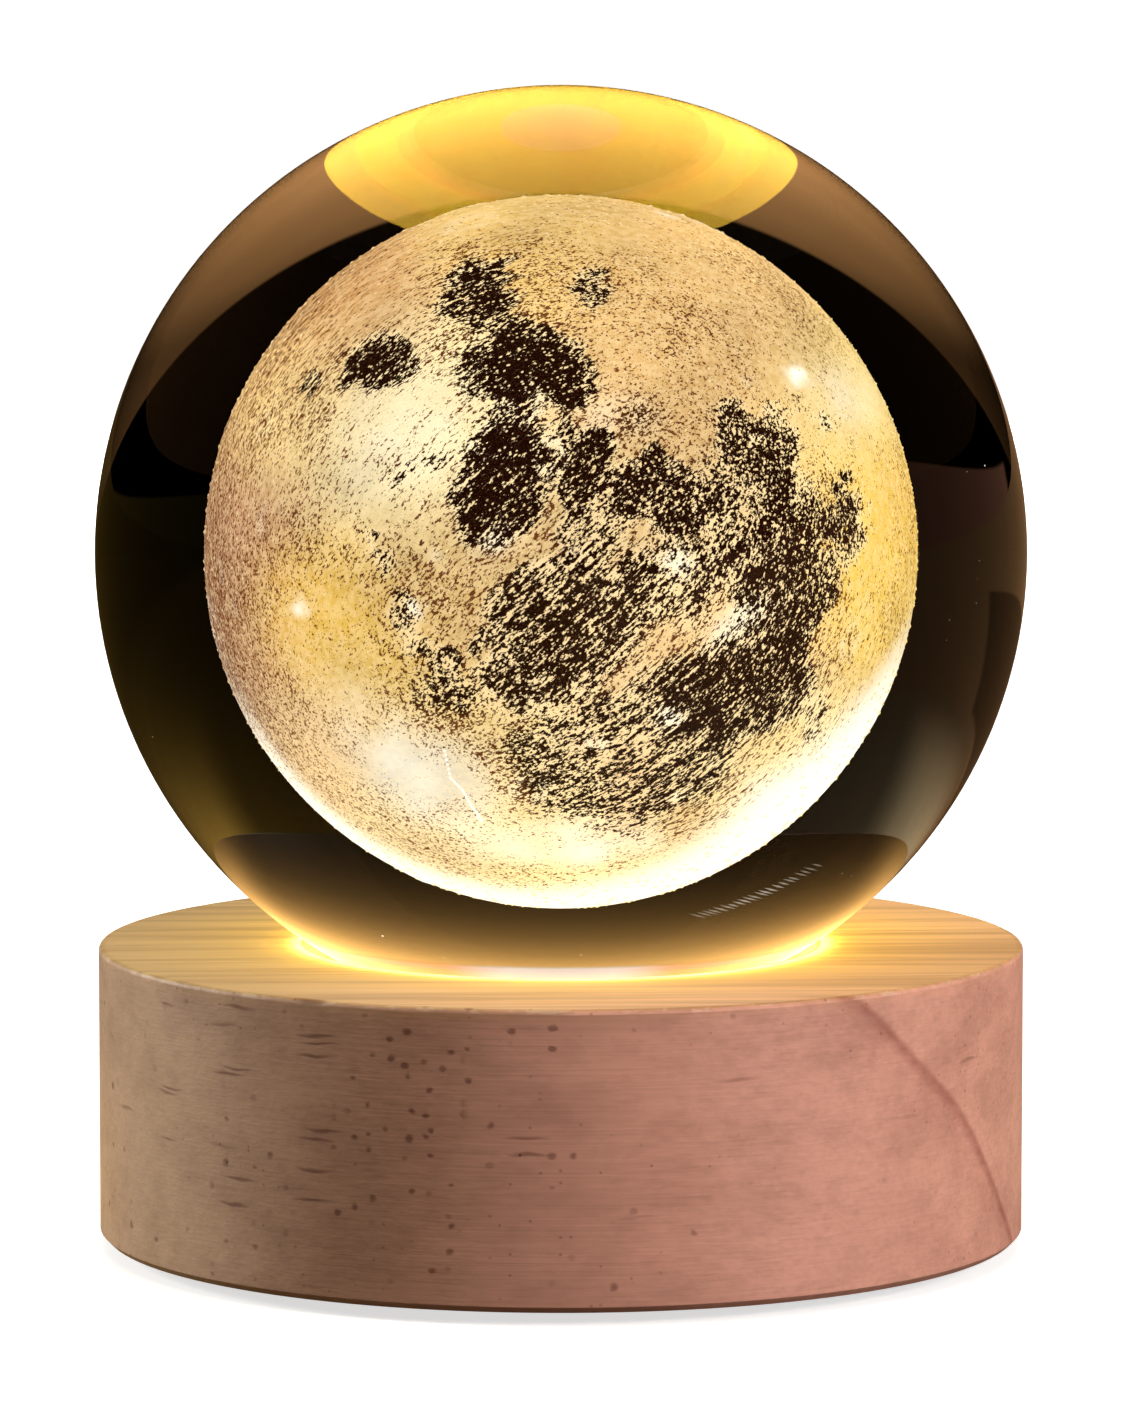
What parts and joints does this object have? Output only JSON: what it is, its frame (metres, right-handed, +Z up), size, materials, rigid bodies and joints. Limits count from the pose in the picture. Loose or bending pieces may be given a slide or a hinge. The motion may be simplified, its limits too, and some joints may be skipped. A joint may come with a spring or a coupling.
{
  "type": "crystal ball night light",
  "caption": "Clear glass ball with a moon engraved inside it, resting in a round wooden base that lights it from below, with a USB inlet and a push button at the back.",
  "frame": {"origin": "on the table, under the middle of the ball and of the base", "axes": "+Z up through the ball, +Y out of the back with the power inlet, -Y out of the front, +X to the right as seen from the front"},
  "size_m": [0.06, 0.06, 0.0749],
  "materials": {
    "natural_wood": "satin, fine straight grain",
    "clear_glass": "polished, clear",
    "engraved_dots": "frosted dots that catch the light",
    "silicone": "soft, translucent",
    "white_plastic": "smooth, white",
    "diffuser_plastic": "opal, lit from below",
    "white_board": "white solder mask",
    "green_board": "green solder mask",
    "led_plastic": "white package",
    "phosphor": "yellow, glowing",
    "black_part": "black moulding",
    "red_wire": "red insulation",
    "black_wire": "black insulation",
    "solder": "bright solder",
    "steel": "plated steel",
    "gold_plate": "gold plate",
    "ivory_plastic": "ivory moulding",
    "button_plastic": "pale, smooth",
    "dark_plastic": "dark grey, fine texture",
    "foot_rubber": "dark grey"
  },
  "bodies": {
    "base": {"wooden_base": "natural_wood", "light_cup": "white_plastic", "diffuser_disc": "diffuser_plastic", "led_board": "white_board", "led_packages": "led_plastic", "led_phosphors": "phosphor", "led_resistors": "black_part", "cup_screws": "steel", "positive_lead": "red_wire", "negative_lead": "black_wire", "solder_joints": "solder", "inlet_board": "green_board", "inlet_resistors": "black_part", "usb_shell": "steel", "usb_tongue": "black_part", "usb_contacts": "gold_plate", "switch_body": "black_part", "switch_spring": "steel", "rear_bezel": "dark_plastic", "bezel_screws": "steel", "bottom_cover": "dark_plastic", "cover_screws": "steel", "rubber_feet": "foot_rubber"},
    "ring": {"seat_ring": "silicone"},
    "ball": {"crystal_ball": "clear_glass", "engraved_moon": "engraved_dots"},
    "button": {"button_cap": "button_plastic", "switch_plunger": "ivory_plastic"}
  },
  "joints": [
    {"name": "ball_turn", "type": "hinge", "parent": "base", "child": "ring", "pos_m": [0, 0, 0.0176], "axis": [0, 0, 1], "continuous": true},
    {"name": "ball_lift", "type": "slide", "parent": "ring", "child": "ball", "axis": [0, 0, 1], "range_m": [0, 0.04]},
    {"name": "button_press", "type": "slide", "parent": "base", "child": "button", "axis": [0, -1, 0], "range_m": [0, 0.0008], "stiffness_N_per_m": 1500, "springref_m": -0.0004, "deforming": ["switch_spring"]}
  ]
}
